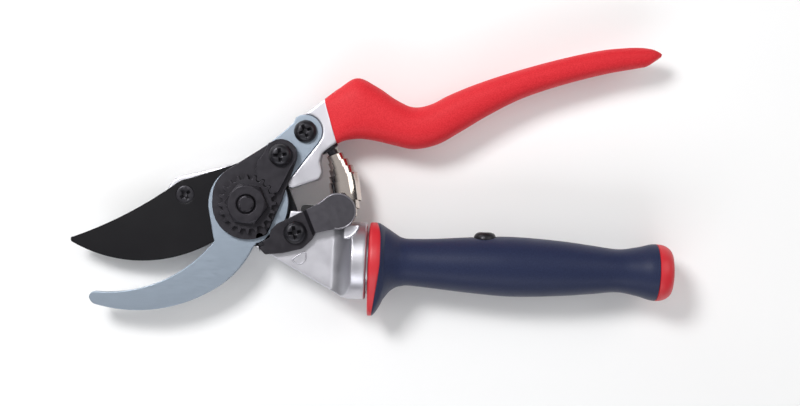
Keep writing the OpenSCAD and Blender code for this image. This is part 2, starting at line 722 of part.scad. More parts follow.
// The adjusting nut: a hexagon on a toothed flange.
module adjusting_nut() {
    corner_r = nut_af / 2 / cos(30);
    color("#35333a") difference() {
        union() {
            translate([0, 0, flange_z]) linear_extrude(flange_t) polygon(flange_outline(0));
            intersection() {
                translate([0, 0, hex_z]) rotate(24 + 30) cylinder(h = nut_t, r = corner_r, $fn = 6);
                translate([0, 0, hex_z])
                    cylinder(h = nut_t, r1 = corner_r + nut_t * 0.9, r2 = nut_af / 2 - 0.3);
            }
        }
        translate([0, 0, flange_z - 1]) cylinder(h = nut_t + flange_t + 2, r = thread_r + 0.12);
        translate([0, 0, nut_top - 0.5]) cylinder(h = 1, r1 = thread_r + 0.12, r2 = thread_r + 1.2);
    }
}

// The stub in the upper handle that the spring's end sits on.
module spring_seat_upper() {
    seat_end = polar(spring_path_r, spring_top);
    color("#3a383c") translate([seat_end[0], seat_end[1], spring_z]) rotate([0, 0, spring_top])
        rotate([90, 0, 0]) translate([0, 0, -3.2]) union() {
            cylinder(h = 3, r = coil_end_r + 0.85);
            cylinder(h = 5, r = coil_end_r - 0.7);
        }
}

// ---------- The turning grip ----------

// Plan of the guard, round above and drawn out below.
module guard_plan() {
    link([0, 0], guard_r, [guard_nose_r - guard_reach, 0], guard_nose_r);
}

module across_grip(x) {
    translate([x, 0, 0]) rotate([90, 0, 90]) children();
}

// Frame of the grip screw: on the grip axis, its z along the screw to the head.
module along_grip_screw() {
    translate([grip_screw_x, -grip_axis_y, grip_axis_z]) rotate([-90, 0, 0]) children();
}

module grip_core() {
    color("#d8303c") difference() {
        union() {
            on_grip_axis() across_grip(guard_x) linear_extrude(guard_t) guard_plan();
            on_grip_axis() turned([[guard_x, 0], [guard_x, core_r], [cap_x, core_r], [cap_x, 0]]);
            along_grip_screw() cylinder(h = core_r + screw_boss_h, d = pan_head_d);
        }
        on_grip_axis() turned([
            [guard_x - 1, 0], [guard_x - 1, bore_r], [tang_end + 1, bore_r], [tang_end + 1, 0]]);
        along_grip_screw() translate([0, 0, tang_r - 1]) cylinder(h = 20, d = screw_d);
    }
}

// A section of the sleeve at the place t along its stations.
function sleeve_ring(t, k) =
    let (s = on_curve(sleeve_stations, t))
    [for (j = [0 : k - 1])
        let (a = 360 * (j + 0.5) / k, power = cos(a) > 0 ? 1 : 2 / s[4],
             reach = cos(a) > 0 ? s[1] : s[2])
        [s[0], reach * sign(cos(a)) * pow(abs(cos(a)), power),
         s[3] * sign(sin(a)) * pow(abs(sin(a)), power)]];

// The sleeve moulded over the core, flared into the back of the guard.
module grip_sleeve() {
    stretches = len(sleeve_stations) - 1;
    steps = 3;
    color("#30375a") difference() {
        on_grip_axis() skin([for (i = [0 : stretches * steps]) sleeve_ring(i / steps, 40)]);
        on_grip_axis() turned([[30, 0], [30, core_r], [cap_x + 1, core_r], [cap_x + 1, 0]]);
        // Counterbore of the grip screw.
        along_grip_screw() cylinder(h = 20, d = pan_head_d + 2 * free_gap);
    }
}

module grip_end_cap() {
    color("#d8303c") on_grip_axis() turned(concat(
        [[cap_x, 0], [cap_x, sleeve_rim_r]],
        [for (a = [0 : 9 : 72])
            [cap_x + 0.4 + (grip_end - cap_x - 0.4) * sin(a), sleeve_rim_r - 3.4 + 3.5 * cos(a)]],
        [[grip_end, sleeve_rim_r - 3.6], [grip_end, 0]]));
}

module grip_screw() {
    color("#2c2a30") along_grip_screw() translate([0, 0, core_r + screw_boss_h])
        pan_screw(core_r + screw_boss_h - tang_r + groove_d - free_gap, 30);
}

// ---------- The thumb catch ----------

// Plan of the catch: a claw at the hub, an eye at the screw and a round thumb pad.
module catch_plan() {
    polygon(rounded(concat(
        [[4.5, -13.6, 0.5], [8.2, -11.1, 0.4], [8.5, -8.7, 0.8], [10.6, -6.4, 1.5], [24.9, 1.3, 5]],
        [for (a = [130 : -12 : -98]) concat(pad_at + polar(pad_r, a), [0])],
        [[24.2, -8.9, 1], [22.8, -11.4, 2.5], [19.6, -14.6, 3], [13, -16.4, 6], [6.9, -17.1, 1.2],
         [5.2, -15.4, 0.8]])));
}

// Side view of the catch across its bend: flat at the screw, lifted at the pad.
module catch_side() {
    foot = pan_head_d / 2 + free_gap + 1;
    under = 1.2;
    polygon([[-25, 0], [foot + under, 0], [foot + 1.3 + under, pad_lift], [40, pad_lift],
        [40, pad_lift + catch_t], [foot + 1.3, pad_lift + catch_t], [foot, catch_t], [-25, catch_t]]);
}

module thumb_catch() {
    bend_dir = 24;
    color("#3f3d42") difference() {
        intersection() {
            translate([0, 0, catch_z]) linear_extrude(catch_t + pad_lift) catch_plan();
            translate([catch_at[0], catch_at[1], catch_z]) rotate(bend_dir) rotate([90, 0, 0])
                translate([0, 0, -40]) linear_extrude(80) catch_side();
        }
        translate([catch_at[0], catch_at[1], catch_z - 1])
            cylinder(h = 10, r = screw_d / 2 + 0.9 + run_clear);
        translate([catch_pin_at[0], catch_pin_at[1], catch_z - 1]) cylinder(h = 10, r = catch_pin_r);
    }
}

// The pin riveted in the claw, which drops into the lock plate's pocket.
module catch_pin() {
    pin_end = flange_z - catch_pin_depth + free_gap;
    color("#55535a") translate([catch_pin_at[0], catch_pin_at[1], pin_end])
        cylinder(h = catch_z + catch_t - pin_end, r = catch_pin_r);
}

// ---------- The volute spring ----------

// One corner ring of the strip at the place t, from 0 to 1 along the whole spring.
function strip_ring(t) =
    let (turns = 2 * half_turns, a = 360 * turns * t, fold = 1 - abs(2 * t - 1),
         r = coil_end_r + (coil_r - coil_end_r) * fold, arc = PI * spring_path_r / 180,
         reach = (spring_top - spring_bottom) * arc, w = strip_w / 2,
         s = w + (reach - 2 * w) * t)
    [for (c = [[0, -1], [1, -1], [1, 1], [0, 1]])
        let (turn = spring_bottom + (s + c[1] * w) / arc, rr = r - c[0] * strip_t,
             path = spring_path_r + rr * cos(a))
        [path * cos(turn), path * sin(turn), spring_z + rr * sin(a)]];

module volute_spring() {
    steps = round(2 * half_turns * 20);
    color("#b9b2ab") skin([for (i = [0 : steps]) strip_ring(i / steps)]);
}

lower_handle();
cutting_blade();
blade_screw();
pivot_bush();
rubber_buffer();
spring_seat_lower();
catch_washer();
catch_screw();
thrust_washer();
upper_handle();
upper_grip();
counter_blade();
counter_blade_screw();
lock_plate();
toothed_segment();
segment_screw();
pivot_bolt();
adjusting_nut();
spring_seat_upper();
grip_core();
grip_sleeve();
grip_end_cap();
grip_screw();
thumb_catch();
catch_pin();
volute_spring();
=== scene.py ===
import math

import bmesh
import bpy
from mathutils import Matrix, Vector


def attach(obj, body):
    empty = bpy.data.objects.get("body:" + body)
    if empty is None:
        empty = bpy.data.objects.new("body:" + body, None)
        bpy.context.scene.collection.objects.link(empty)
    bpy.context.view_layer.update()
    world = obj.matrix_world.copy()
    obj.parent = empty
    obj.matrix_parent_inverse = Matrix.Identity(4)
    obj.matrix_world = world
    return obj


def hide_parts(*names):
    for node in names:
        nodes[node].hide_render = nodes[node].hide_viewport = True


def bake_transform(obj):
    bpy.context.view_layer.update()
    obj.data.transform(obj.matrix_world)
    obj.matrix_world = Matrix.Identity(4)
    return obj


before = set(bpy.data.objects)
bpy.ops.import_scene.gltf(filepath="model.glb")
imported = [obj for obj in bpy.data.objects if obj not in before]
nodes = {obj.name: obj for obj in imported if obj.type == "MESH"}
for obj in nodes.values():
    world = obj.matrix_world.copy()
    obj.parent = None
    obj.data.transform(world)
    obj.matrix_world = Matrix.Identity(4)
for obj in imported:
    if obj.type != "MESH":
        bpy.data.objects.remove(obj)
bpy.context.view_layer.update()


# ---------- Camera, light and floor ----------
# The shears lie on a pale table and are seen from straight above, from half a metre away.
# The light is a soft box at the upper left, weaker ones on the right and in front, and a low strip
# that draws the rims.

scene = bpy.context.scene
scene.view_settings.view_transform = "Standard"

camera_data = bpy.data.cameras.new("camera")
camera = bpy.data.objects.new("camera", camera_data)
scene.collection.objects.link(camera)
camera.location = (0.05265, 0.00249, 0.46125)
camera.rotation_euler = (0, 0, math.radians(2.33))
camera_data.sensor_width = 36
camera_data.lens = 57.86
scene.camera = camera


def linear(code):
    """Turns an sRGB hex colour into the linear values that shaders and lights take."""
    parts = [int(code[i:i + 2], 16) / 255 for i in (1, 3, 5)]
    return tuple(p / 12.92 if p <= 0.04045 else ((p + 0.055) / 1.055) ** 2.4 for p in parts) + (1,)


def add_light(name, place, aim, size, watts, colour):
    light_data = bpy.data.lights.new(name, "AREA")
    light_data.shape = "RECTANGLE"
    light_data.size, light_data.size_y = size
    light_data.energy = watts
    light_data.color = linear(colour)[:3]
    light = bpy.data.objects.new(name, light_data)
    light.location = place
    light.rotation_euler = (Vector(aim) - Vector(place)).to_track_quat("-Z", "Y").to_euler()
    scene.collection.objects.link(light)


add_light("key_box", (-0.24, 0.3, 0.6), (0.04, 0, 0), (0.2, 0.18), 3.4, "#FFFFFF")
add_light("side_box", (0.62, 0.3, 0.5), (0.05, 0, 0), (0.4, 0.5), 1.3, "#FFFDFA")
add_light("rim_strip", (-0.4, 0.55, 0.14), (0.04, 0, 0.01), (0.5, 0.1), 1.2, "#FFFFFF")
add_light("front_box", (0, -0.7, 0.5), (0.05, 0, 0), (1, 0.3), 2.9, "#FAFCFF")

world = bpy.data.worlds.new("studio")
scene.world = world
world.use_nodes = True


def add_node(tree, kind, settings, links):
    """Adds a shader node: settings by socket or property name, links as socket: output."""
    made = tree.nodes.new("ShaderNode" + kind)
    for key, value in settings.items():
        if isinstance(key, int) or key in made.inputs:
            made.inputs[key].default_value = value
        else:
            setattr(made, key, value)
    for key, output in links.items():
        tree.links.new(output, made.inputs[key])
    return made


def new_finish(name, colour, **sockets):
    """Starts a material from its colour and the constant values of its shader."""
    material = bpy.data.materials.new(name)
    material.use_nodes = True
    tree = material.node_tree
    shader = tree.nodes["Principled BSDF"]
    shader.inputs["Base Color"].default_value = linear(colour)
    for socket, value in sockets.items():
        shader.inputs[socket.replace("_", " ")].default_value = value
    return material, tree, shader


# The room is white overhead and grey towards the horizon, so that round metal shows dark sides.
sky = world.node_tree.nodes["Background"]
sky.inputs["Strength"].default_value = 0.51
way = add_node(world.node_tree, "TexCoord", {}, {})
split = add_node(world.node_tree, "SeparateXYZ", {}, {"Vector": way.outputs["Generated"]})
height = add_node(world.node_tree, "Math", {"operation": "ABSOLUTE"}, {0: split.outputs["Z"]})
room = add_node(world.node_tree, "ValToRGB", {}, {"Fac": height.outputs[0]})
room.color_ramp.elements[0].position, room.color_ramp.elements[0].color = 0.4, linear("#6A6A6E")
room.color_ramp.elements[1].position, room.color_ramp.elements[1].color = 0.88, linear("#FFFFFF")
world.node_tree.links.new(room.outputs[0], sky.inputs["Color"])

bpy.ops.object.select_all(action="DESELECT")
bpy.ops.mesh.primitive_plane_add(size=6, location=(0.05, 0, -0.0002))
floor = bpy.context.object
floor.name = "floor"
floor.data.transform(floor.matrix_world)
floor.matrix_world.identity()
paper, tree, shader = new_finish("white_card", "#F4F4F4", Roughness=0.9)
place = add_node(tree, "TexCoord", {}, {})
grain = add_node(tree, "TexNoise", {"Scale": 900, "Detail": 3}, {"Vector": place.outputs["Object"]})
bump = add_node(tree, "Bump", {"Strength": 0.04, "Distance": 0.0002}, {"Height": grain.outputs[0]})
tree.links.new(bump.outputs[0], shader.inputs["Normal"])
floor.data.materials.append(paper)


# ---------- Lower handle ----------
# One light-metal forging: a flat fan that carries the catch, a collar for the turning grip, and the
# web behind the blade. It is bead blasted, so its faces are satin and every edge is a little round.

MM = 0.001


def cast_copy(node, name, voxel, rounds):
    """A seamless copy of a CAD solid with the soft edges of a casting; voxel in mm."""
    bpy.ops.object.select_all(action="DESELECT")
    piece = bpy.data.objects.new(name, nodes[node].data.copy())
    piece.data.name = name
    piece.data.materials.clear()
    scene.collection.objects.link(piece)
    bpy.context.view_layer.objects.active = piece
    piece.select_set(True)
    weld = piece.modifiers.new("weld", "WELD")
    weld.merge_threshold = 0.002 * MM
    skin = piece.modifiers.new("skin", "REMESH")
    skin.mode = "VOXEL"
    skin.voxel_size = voxel * MM
    soft = piece.modifiers.new("soft_edges", "SMOOTH")
    soft.factor = 0.5
    soft.iterations = rounds
    for modifier in list(piece.modifiers):
        bpy.ops.object.modifier_apply(modifier=modifier.name)
    bpy.ops.object.shade_smooth()
    return piece


cast_metal, tree, shader = new_finish("bead_blasted_aluminium", "#CECDD3", Metallic=1.0, Roughness=0.45)
place = add_node(tree, "TexCoord", {}, {})
# Blasting leaves dimples of about 0.1 mm; they are drawn 0.35 mm wide so that they show.
dimples = add_node(tree, "TexNoise", {"Scale": 2800, "Detail": 2}, {"Vector": place.outputs["Object"]})
cloud = add_node(tree, "TexNoise", {"Scale": 120, "Detail": 3}, {"Vector": place.outputs["Object"]})
tone = add_node(tree, "ValToRGB", {}, {"Fac": cloud.outputs[0]})
tone.color_ramp.elements[0].position, tone.color_ramp.elements[0].color = 0.3, linear("#C2C1C8")
tone.color_ramp.elements[1].position, tone.color_ramp.elements[1].color = 0.7, linear("#CDCCD2")
gloss = add_node(tree, "MapRange", {"From Min": 0.3, "From Max": 0.7, "To Min": 0.36, "To Max": 0.5},
                 {"Value": cloud.outputs[0]})
bump = add_node(tree, "Bump", {"Strength": 0.25, "Distance": 0.00003}, {"Height": dimples.outputs[0]})
tree.links.new(tone.outputs[0], shader.inputs["Base Color"])
tree.links.new(gloss.outputs[0], shader.inputs["Roughness"])
tree.links.new(bump.outputs[0], shader.inputs["Normal"])

lower_handle = cast_copy("lower_handle", "lower_handle_cast", 0.3, 4)
lower_handle.data.materials.append(cast_metal)
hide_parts("lower_handle")
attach(lower_handle, "lower_body")


def bead(name, points, radius, material, closed=False):
    """A round bead along points in mm: a smooth loop if closed, or a plain line with capped ends."""
    curve = bpy.data.curves.new(name, "CURVE")
    curve.dimensions = "3D"
    curve.bevel_depth = radius * MM
    curve.bevel_resolution = 3
    curve.use_fill_caps = not closed
    spline = curve.splines.new("NURBS" if closed else "POLY")
    spline.points.add(len(points) - 1)
    for control, (x, y, z) in zip(spline.points, points):
        control.co = (x * MM, y * MM, z * MM, 1)
    if closed:
        spline.use_cyclic_u = True
        spline.order_u = 3
        spline.resolution_u = 10
    piece = bpy.data.objects.new(name, curve)
    scene.collection.objects.link(piece)
    bpy.ops.object.select_all(action="DESELECT")
    bpy.context.view_layer.objects.active = piece
    piece.select_set(True)
    bpy.ops.object.convert(target="MESH")
    piece = bpy.context.object
    piece.data.materials.append(material)
    bpy.ops.object.shade_smooth()
    return piece


# A plain half-round rib stands on the fan, as a casting mark does.
fan_z, rib_r = 16.4, 0.26
rib_points = [(15.9, -18.7), (18.2, -16.9), (20.3, -15.6), (20.9, -16.2), (21, -17.4), (20.7, -18.6),
              (19.7, -19.8), (18.5, -20.1), (17.1, -19.6)]
rib = bead("casting_mark", [(x, y, fan_z) for x, y in rib_points], rib_r, cast_metal, closed=True)
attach(rib, "lower_body")


# ---------- Cutting blade ----------
# A plate of hardened steel, 3 mm thick, ground from behind and coated black against sap.
# The coating is smooth and satin, and its edges are broken by a small chamfer.

def dress(node, material, edge, angle=30):
    """Breaks a CAD node's edges by a small chamfer in mm, smooths its round faces, and coats it."""
    part = nodes[node]
    for polygon in part.data.polygons:
        polygon.use_smooth = True
    weld = part.modifiers.new("weld", "WELD")
    weld.merge_threshold = 0.002 * MM
    chamfer = part.modifiers.new("edges", "BEVEL")
    chamfer.width = edge * MM
    chamfer.segments = 2
    chamfer.limit_method = "ANGLE"
    chamfer.angle_limit = math.radians(angle)
    chamfer.use_clamp_overlap = False
    chamfer.miter_outer = "MITER_ARC"
    shade = part.modifiers.new("shade", "WEIGHTED_NORMAL")
    shade.keep_sharp = False
    part.data.materials.clear()
    part.data.materials.append(material)


def plate_copy(node, name, edge, material, body):
    """A copy of a CAD plate with whole faces, and its edges broken by a chamfer in mm."""
    bpy.ops.object.select_all(action="DESELECT")
    piece = bpy.data.objects.new(name, nodes[node].data.copy())
    piece.data.name = name
    piece.data.materials.clear()
    piece.data.materials.append(material)
    scene.collection.objects.link(piece)
    bpy.context.view_layer.objects.active = piece
    piece.select_set(True)
    bpy.ops.object.mode_set(mode="EDIT")
    bpy.ops.mesh.select_all(action="SELECT")
    bpy.ops.mesh.remove_doubles(threshold=0.002 * MM)
    bpy.ops.mesh.dissolve_limited(angle_limit=math.radians(1))
    bpy.ops.object.mode_set(mode="OBJECT")
    bpy.ops.object.shade_smooth()
    chamfer = piece.modifiers.new("edges", "BEVEL")
    chamfer.width = edge * MM
    chamfer.segments = 2
    chamfer.limit_method = "ANGLE"
    chamfer.angle_limit = math.radians(28)
    chamfer.use_clamp_overlap = False
    piece.modifiers.new("shade", "WEIGHTED_NORMAL")
    for modifier in list(piece.modifiers):
        bpy.ops.object.modifier_apply(modifier=modifier.name)
    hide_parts(node)
    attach(piece, body)
    return piece


coating, tree, shader = new_finish("low_friction_black_coating", "#100F13", Metallic=0.0, Roughness=0.42)
shader.inputs["Specular IOR Level"].default_value = 0.2
place = add_node(tree, "TexCoord", {}, {})
speckle = add_node(tree, "TexNoise", {"Scale": 2200, "Detail": 3}, {"Vector": place.outputs["Object"]})
bump = add_node(tree, "Bump", {"Strength": 0.12, "Distance": 0.00003}, {"Height": speckle.outputs[0]})
smear = add_node(tree, "TexNoise", {"Scale": 60, "Detail": 4}, {"Vector": place.outputs["Object"]})
gloss = add_node(tree, "MapRange", {"From Min": 0.3, "From Max": 0.7, "To Min": 0.3, "To Max": 0.42},
                 {"Value": smear.outputs[0]})
tree.links.new(bump.outputs[0], shader.inputs["Normal"])
tree.links.new(gloss.outputs[0], shader.inputs["Roughness"])
plate_copy("cutting_blade", "coated_cutting_blade", 0.16, coating, "lower_body")


# ---------- Blade screw ----------
# A countersunk cross-head screw that holds the blade to the web, oxidised black.

black_oxide, tree, shader = new_finish("black_oxide_steel", "#2A292E", Metallic=0.6, Roughness=0.34)
place = add_node(tree, "TexCoord", {}, {})
mottle = add_node(tree, "TexNoise", {"Scale": 700, "Detail": 4}, {"Vector": place.outputs["Object"]})
tone = add_node(tree, "ValToRGB", {}, {"Fac": mottle.outputs[0]})
tone.color_ramp.elements[0].position, tone.color_ramp.elements[0].color = 0.2, linear("#26252A")
tone.color_ramp.elements[1].position, tone.color_ramp.elements[1].color = 0.8, linear("#2E2D32")
gloss = add_node(tree, "MapRange", {"From Min": 0.3, "From Max": 0.7, "To Min": 0.3, "To Max": 0.38},
                 {"Value": mottle.outputs[0]})
bump = add_node(tree, "Bump", {"Strength": 0.15, "Distance": 0.00003}, {"Height": mottle.outputs[0]})
tree.links.new(tone.outputs[0], shader.inputs["Base Color"])
tree.links.new(gloss.outputs[0], shader.inputs["Roughness"])
tree.links.new(bump.outputs[0], shader.inputs["Normal"])
shader.inputs["Specular IOR Level"].default_value = 0.5
dress("blade_screw", black_oxide, 0.08)


# ---------- Pivot bush, washers and spring cup ----------
# Turned bronze bush in the lower handle's bore, zinc-plated washers under the catch and before the
# guard, and the pressed steel cup of the spring. Only their rims show.

bronze, tree, shader = new_finish("turned_bronze", "#A9854E", Metallic=1.0, Roughness=0.35)
place = add_node(tree, "TexCoord", {}, {})
stretch = add_node(tree, "Mapping", {"Scale": (1, 1, 40)}, {"Vector": place.outputs["Object"]})
lathe = add_node(tree, "TexNoise", {"Scale": 300, "Detail": 2}, {"Vector": stretch.outputs[0]})
bump = add_node(tree, "Bump", {"Strength": 0.2, "Distance": 0.00002}, {"Height": lathe.outputs[0]})
tree.links.new(bump.outputs[0], shader.inputs["Normal"])
dress("pivot_bush", bronze, 0.1)

zinc, tree, shader = new_finish("zinc_plated_steel", "#B4B6BA", Metallic=1.0, Roughness=0.34)
place = add_node(tree, "TexCoord", {}, {})
flakes = add_node(tree, "TexNoise", {"Scale": 900, "Detail": 2}, {"Vector": place.outputs["Object"]})
gloss = add_node(tree, "MapRange", {"From Min": 0.3, "From Max": 0.7, "To Min": 0.26, "To Max": 0.44},
                 {"Value": flakes.outputs[0]})
tree.links.new(gloss.outputs[0], shader.inputs["Roughness"])
for washer in ("catch_washer", "thrust_washer"):
    dress(washer, zinc, 0.08)
dress("catch_pin", black_oxide, 0.06)
dress("spring_seat_lower", black_oxide, 0.15)
dress("spring_seat_upper", black_oxide, 0.15)


# ---------- Rubber buffer ----------
# A moulded rubber block pressed into the lower handle's upper edge, which stops the closing handle.

rubber, tree, shader = new_finish("moulded_rubber", "#101012", Roughness=0.6)
place = add_node(tree, "TexCoord", {}, {})
matt = add_node(tree, "TexNoise", {"Scale": 1800, "Detail": 2}, {"Vector": place.outputs["Object"]})
bump = add_node(tree, "Bump", {"Strength": 0.3, "Distance": 0.00004}, {"Height": matt.outputs[0]})
tree.links.new(bump.outputs[0], shader.inputs["Normal"])
dress("rubber_buffer", rubber, 0.4)


# ---------- Upper handle ----------
# The second forging: a head with a rounded lobe, milled out for the counter-blade's arm. Its bar runs
# on inside the red coating.

upper_handle = cast_copy("upper_handle", "upper_handle_cast", 0.3, 4)
upper_handle.data.materials.append(cast_metal)
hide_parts("upper_handle")
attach(upper_handle, "upper_body")


# ---------- Red handle coating ----------
# Soft vinyl dipped over the bar, about 2 mm thick, with the fine pebbled skin that dipping leaves.
# Its end at the head is square and flat, and the handle swells, dips and sweeps up to a blunt tip.

def on_curve(values, t):
    """A value or point on the smooth curve through a list."""
    last = len(values) - 1
    i = min(int(t), last - 1)
    f = t - i
    a, b, c, d = values[max(i - 1, 0)], values[i], values[i + 1], values[min(i + 2, last)]
    square, cube = 2 * a - 5 * b + 4 * c - d, 3 * b - a - 3 * c + d
    return 0.5 * (2 * b + (c - a) * f + square * f * f + cube * f ** 3)


def loft(name, rings, angle=40):
    """A closed skin over rings of points in mm, smooth up to an edge angle in degrees."""
    mesh = bpy.data.meshes.new(name)
    form = bmesh.new()
    loops = [[form.verts.new(Vector(point) * MM) for point in ring] for ring in rings]
    for one, two in zip(loops, loops[1:]):
        for i in range(len(one)):
            j = (i + 1) % len(one)
            form.faces.new((one[i], one[j], two[j], two[i]))
    form.faces.new(loops[0])
    form.faces.new(loops[-1])
    bmesh.ops.recalc_face_normals(form, faces=form.faces)
    form.to_mesh(mesh)
    form.free()
    piece = bpy.data.objects.new(name, mesh)
    scene.collection.objects.link(piece)
    bpy.ops.object.select_all(action="DESELECT")
    bpy.context.view_layer.objects.active = piece
    piece.select_set(True)
    bpy.ops.object.shade_smooth_by_angle(angle=math.radians(angle))
    return piece


# Stations: top point, bottom point, half-thickness and squareness of the section, in mm.
red_stations = [
    ((24.9, 37.5), (29.8, 22.4), 6.0, 4.5), ((29.6, 41.3), (33, 23.7), 6.9, 3.4),
    ((36, 45.4), (38, 24.35), 7.6, 2.8), ((43, 42.7), (44, 23.7), 7.6, 2.5),
    ((50, 38.4), (50, 22.5), 7.5, 2.35), ((56, 36.1), (57, 21.5), 7.4, 2.3),
    ((62, 37.3), (65, 23.5), 7.3, 2.3), ((68.5, 40.9), (72.5, 28), 7.1, 2.3),
    ((78, 45.2), (82.5, 34.5), 6.9, 2.3), ((90, 49.7), (94, 40.8), 6.6, 2.3),
    ((105, 54.5), (108, 46.1), 6.2, 2.3), ((120, 58.4), (122.5, 50.4), 5.6, 2.3),
    ((131, 59.92), (133.5, 52.8), 4.6, 2.2), ((137.4, 59.87), (137, 53.7), 3.6, 2.2),
    ((140.6, 59), (139.8, 55.6), 2.4, 2.1), ((142, 58.2), (141.7, 57), 0.8, 2),
]
red_mid_z = 11.55


def red_ring(t, inset=0.0, points=72):
    top = Vector([on_curve([s[0][i] for s in red_stations], t) for i in (0, 1)])
    low = Vector([on_curve([s[1][i] for s in red_stations], t) for i in (0, 1)])
    thick = on_curve([s[2] for s in red_stations], t) - inset
    power = on_curve([s[3] for s in red_stations], t)
    middle, arm = (top + low) / 2, (top - low) / 2
    arm *= 1 - inset / arm.length
    ring = []
    for k in range(points):
        a = 2 * math.pi * k / points
        along = math.copysign(abs(math.cos(a)) ** (2 / power), math.cos(a))
        up = math.copysign(abs(math.sin(a)) ** (2 / power), math.sin(a))
        at = middle + arm * along
        ring.append((at.x, at.y, red_mid_z + thick * up))
    return ring


red_rings = [red_ring(0, 0.9), red_ring(0, 0.4), red_ring(0.03, 0.1), red_ring(0.08)]
red_rings += [red_ring(t / 8) for t in range(1, 8 * (len(red_stations) - 1) + 1)]
red_rings.append(red_ring(len(red_stations) - 1, 0.4))

vinyl, tree, shader = new_finish("dipped_vinyl", "#D32A33", Roughness=0.55)
shader.inputs["Specular IOR Level"].default_value = 0.22
place = add_node(tree, "TexCoord", {}, {})
# Pebbles of about 0.3 mm, drawn 0.6 mm wide so that they show.
pebbles = add_node(tree, "TexVoronoi", {"Scale": 1500, "feature": "SMOOTH_F1"},
                   {"Vector": place.outputs["Object"]})
fine = add_node(tree, "TexNoise", {"Scale": 2600, "Detail": 3}, {"Vector": place.outputs["Object"]})
both = add_node(tree, "Math", {"operation": "ADD"}, {0: pebbles.outputs["Distance"], 1: fine.outputs[0]})
tone = add_node(tree, "ValToRGB", {}, {"Fac": fine.outputs[0]})
tone.color_ramp.elements[0].position, tone.color_ramp.elements[0].color = 0.35, linear("#CA2029")
tone.color_ramp.elements[1].position, tone.color_ramp.elements[1].color = 0.65, linear("#D82E37")
bump = add_node(tree, "Bump", {"Strength": 0.45, "Distance": 0.00006}, {"Height": both.outputs[0]})
tree.links.new(tone.outputs[0], shader.inputs["Base Color"])
tree.links.new(bump.outputs[0], shader.inputs["Normal"])

red_coating = loft("red_handle_coating", red_rings)
red_coating.data.materials.append(vinyl)
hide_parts("upper_grip")
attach(red_coating, "upper_body")


# ---------- Counter-blade ----------
# The hook that holds the stem: a plated steel plate, lightly brushed along its length, with a hub round
# the pivot and an arm inlaid in the upper handle.

plated, tree, shader = new_finish("satin_plated_steel", "#98A2AE", Metallic=1.0, Roughness=0.4)
place = add_node(tree, "TexCoord", {}, {})
turned_way = add_node(tree, "Mapping", {"Rotation": (0, 0, math.radians(-30)), "Scale": (6, 90, 6)},
                      {"Vector": place.outputs["Object"]})
brushing = add_node(tree, "TexNoise", {"Scale": 60, "Detail": 4}, {"Vector": turned_way.outputs[0]})
tone = add_node(tree, "ValToRGB", {}, {"Fac": brushing.outputs[0]})
tone.color_ramp.elements[0].position, tone.color_ramp.elements[0].color = 0.3, linear("#949FAC")
tone.color_ramp.elements[1].position, tone.color_ramp.elements[1].color = 0.7, linear("#98A3B0")
gloss = add_node(tree, "MapRange", {"From Min": 0.3, "From Max": 0.7, "To Min": 0.36, "To Max": 0.48},
                 {"Value": brushing.outputs[0]})
bump = add_node(tree, "Bump", {"Strength": 0.06, "Distance": 0.00002}, {"Height": brushing.outputs[0]})
tree.links.new(tone.outputs[0], shader.inputs["Base Color"])
tree.links.new(gloss.outputs[0], shader.inputs["Roughness"])
tree.links.new(bump.outputs[0], shader.inputs["Normal"])
plate_copy("counter_blade", "plated_counter_blade", 0.3, plated, "upper_body")


# ---------- Lock plate, toothed segment, nut and bolt ----------
# Pressed and hobbed steel parts, oxidised black and oiled. Their stamped edges are broken, and the
# chamfers catch the light.

burnished, tree, shader = new_finish("burnished_steel", "#34323A", Metallic=0.6, Roughness=0.36)
place = add_node(tree, "TexCoord", {}, {})
mottle = add_node(tree, "TexNoise", {"Scale": 450, "Detail": 5}, {"Vector": place.outputs["Object"]})
tone = add_node(tree, "ValToRGB", {}, {"Fac": mottle.outputs[0]})
tone.color_ramp.elements[0].position, tone.color_ramp.elements[0].color = 0.2, linear("#2E2C31")
tone.color_ramp.elements[1].position, tone.color_ramp.elements[1].color = 0.8, linear("#343237")
gloss = add_node(tree, "MapRange", {"From Min": 0.3, "From Max": 0.7, "To Min": 0.3, "To Max": 0.48},
                 {"Value": mottle.outputs[0]})
bump = add_node(tree, "Bump", {"Strength": 0.12, "Distance": 0.00003}, {"Height": mottle.outputs[0]})
tree.links.new(tone.outputs[0], shader.inputs["Base Color"])
tree.links.new(gloss.outputs[0], shader.inputs["Roughness"])
tree.links.new(bump.outputs[0], shader.inputs["Normal"])
shader.inputs["Specular IOR Level"].default_value = 0.3
plate_copy("lock_plate", "lock_plate_pressing", 0.25, burnished, "upper_body")
plate_copy("toothed_segment", "toothed_segment_pressing", 0.22, burnished, "upper_body")
plate_copy("adjusting_nut", "adjusting_nut_turned", 0.15, burnished, "upper_body")
dress("pivot_bolt", burnished, 0.2)


# ---------- Pan-head screws ----------
# Four black screws with a cross recess: in the catch, the segment, the hook's arm and the grip.

for screw in ("catch_screw", "segment_screw", "counter_blade_screw", "grip_screw"):
    dress(screw, black_oxide, 0.08)


# ---------- Turning grip: red core with its guard ----------
# Moulded red plastic. The guard is a plate with a round side above and a drawn-out side below, and
# its rim is rounded. The core tube runs on inside the sleeve.

grip_y, grip_z = -18.1, 13.9
guard_face, cap_seam, screw_x = 42.6, 142.4, 82.7


def guard_ring(depth, inset, points=96):
    """Outline of the guard, two circles and their tangents; depth runs from its face to the seam."""
    big, small, reach = 13.5, 8, 11
    ring = []
    for k in range(points):
        a = 2 * math.pi * k / points
        out, side = math.cos(a), math.sin(a)
        low = -out * reach + small > big
        radius = small if low else big
        y = (-reach if low else 0) + radius * out
        seam = 46.6 - (2.5 * (-y / 19) ** 1.2 if y < 0 else 1.4 * (y / 13.5) ** 6)
        ring.append((guard_face + (seam - guard_face) * depth, grip_y + y - inset * out,
                     grip_z + (radius - inset) * side))
    return ring


